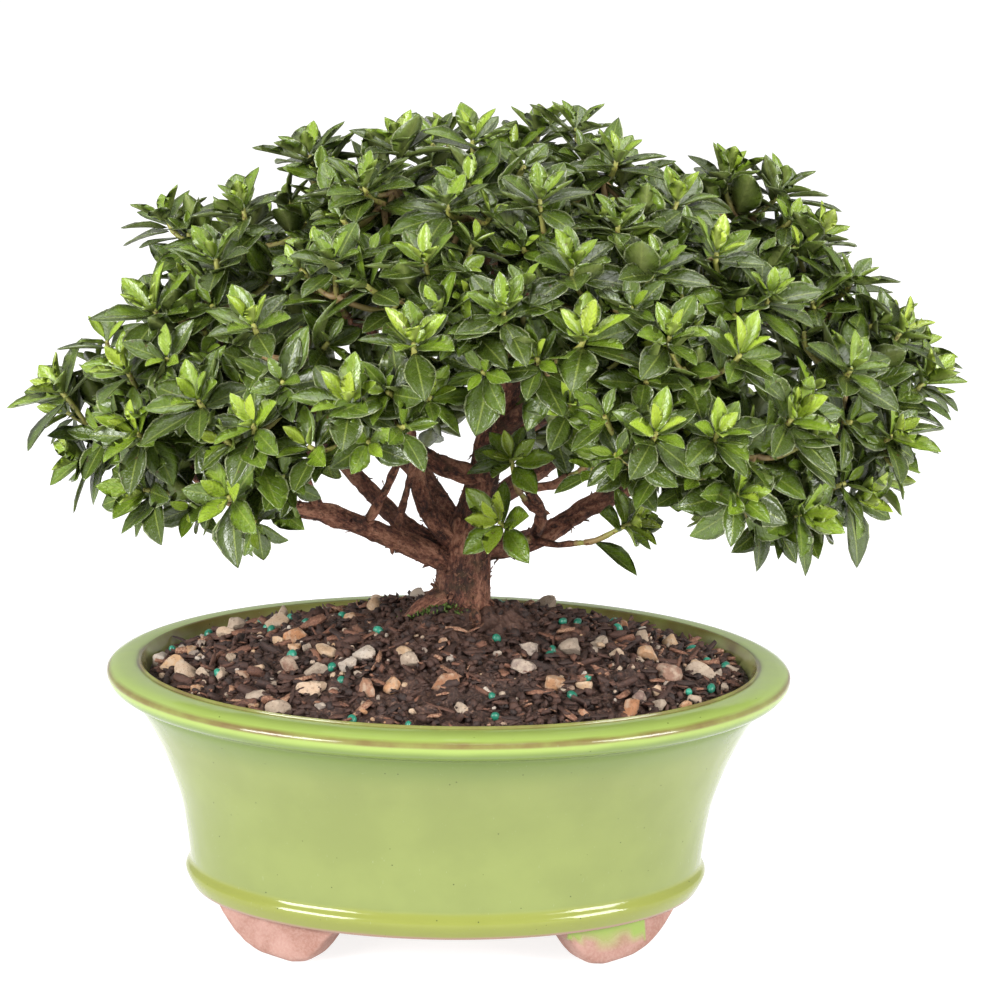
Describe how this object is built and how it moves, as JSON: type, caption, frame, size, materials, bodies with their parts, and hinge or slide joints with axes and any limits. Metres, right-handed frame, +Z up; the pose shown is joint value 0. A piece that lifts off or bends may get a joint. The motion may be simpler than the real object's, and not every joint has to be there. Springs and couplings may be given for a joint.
{
  "type": "satsuki azalea bonsai in an oval glazed pot",
  "caption": "Small broad-domed azalea bonsai with a short trunk, spreading limbs and whorled leaves, standing in an oval footed glazed pot filled with soil.",
  "frame": {"origin": "on the table, under the middle of the whole object's box, pot and canopy together; the pot's centre lies a little left of it and in front of it", "axes": "+X to the right along the pot's long axis, seen from the front; +Y to the back; +Z up"},
  "size_m": [0.2838, 0.2104, 0.2474],
  "materials": {
    "glazed_pot": "gloss",
    "soil": "matte",
    "drain_screen": "matte",
    "bark": "matte",
    "leaves": "satin"
  },
  "bodies": {
    "root": {"drain_screen_left": "drain_screen", "drain_screen_right": "drain_screen", "pot": "glazed_pot", "soil": "soil", "spray_01": "leaves", "spray_02": "leaves", "spray_03": "leaves", "spray_04": "leaves", "spray_05": "leaves", "spray_06": "leaves", "spray_07": "leaves", "spray_08": "leaves", "spray_09": "leaves", "spray_10": "leaves", "spray_11": "leaves", "spray_12": "leaves", "spray_13": "leaves", "spray_14": "leaves", "spray_15": "leaves", "spray_16": "leaves", "spray_17": "leaves", "spray_18": "leaves", "spray_19": "leaves", "spray_20": "leaves", "spray_21": "leaves", "spray_22": "leaves", "spray_23": "leaves", "spray_24": "leaves", "spray_25": "leaves", "spray_26": "leaves", "spray_27": "leaves", "spray_28": "leaves", "spray_29": "leaves", "spray_30": "leaves", "spray_31": "leaves", "spray_32": "leaves", "spray_33": "leaves", "spray_34": "leaves", "spray_35": "leaves", "spray_36": "leaves", "spray_37": "leaves", "spray_38": "leaves", "spray_39": "leaves", "spray_40": "leaves", "spray_41": "leaves", "spray_42": "leaves", "spray_43": "leaves", "spray_44": "leaves", "spray_45": "leaves", "spray_46": "leaves", "spray_47": "leaves", "spray_48": "leaves", "spray_49": "leaves", "trunk_and_branches": "bark"}
  },
  "joints": []
}
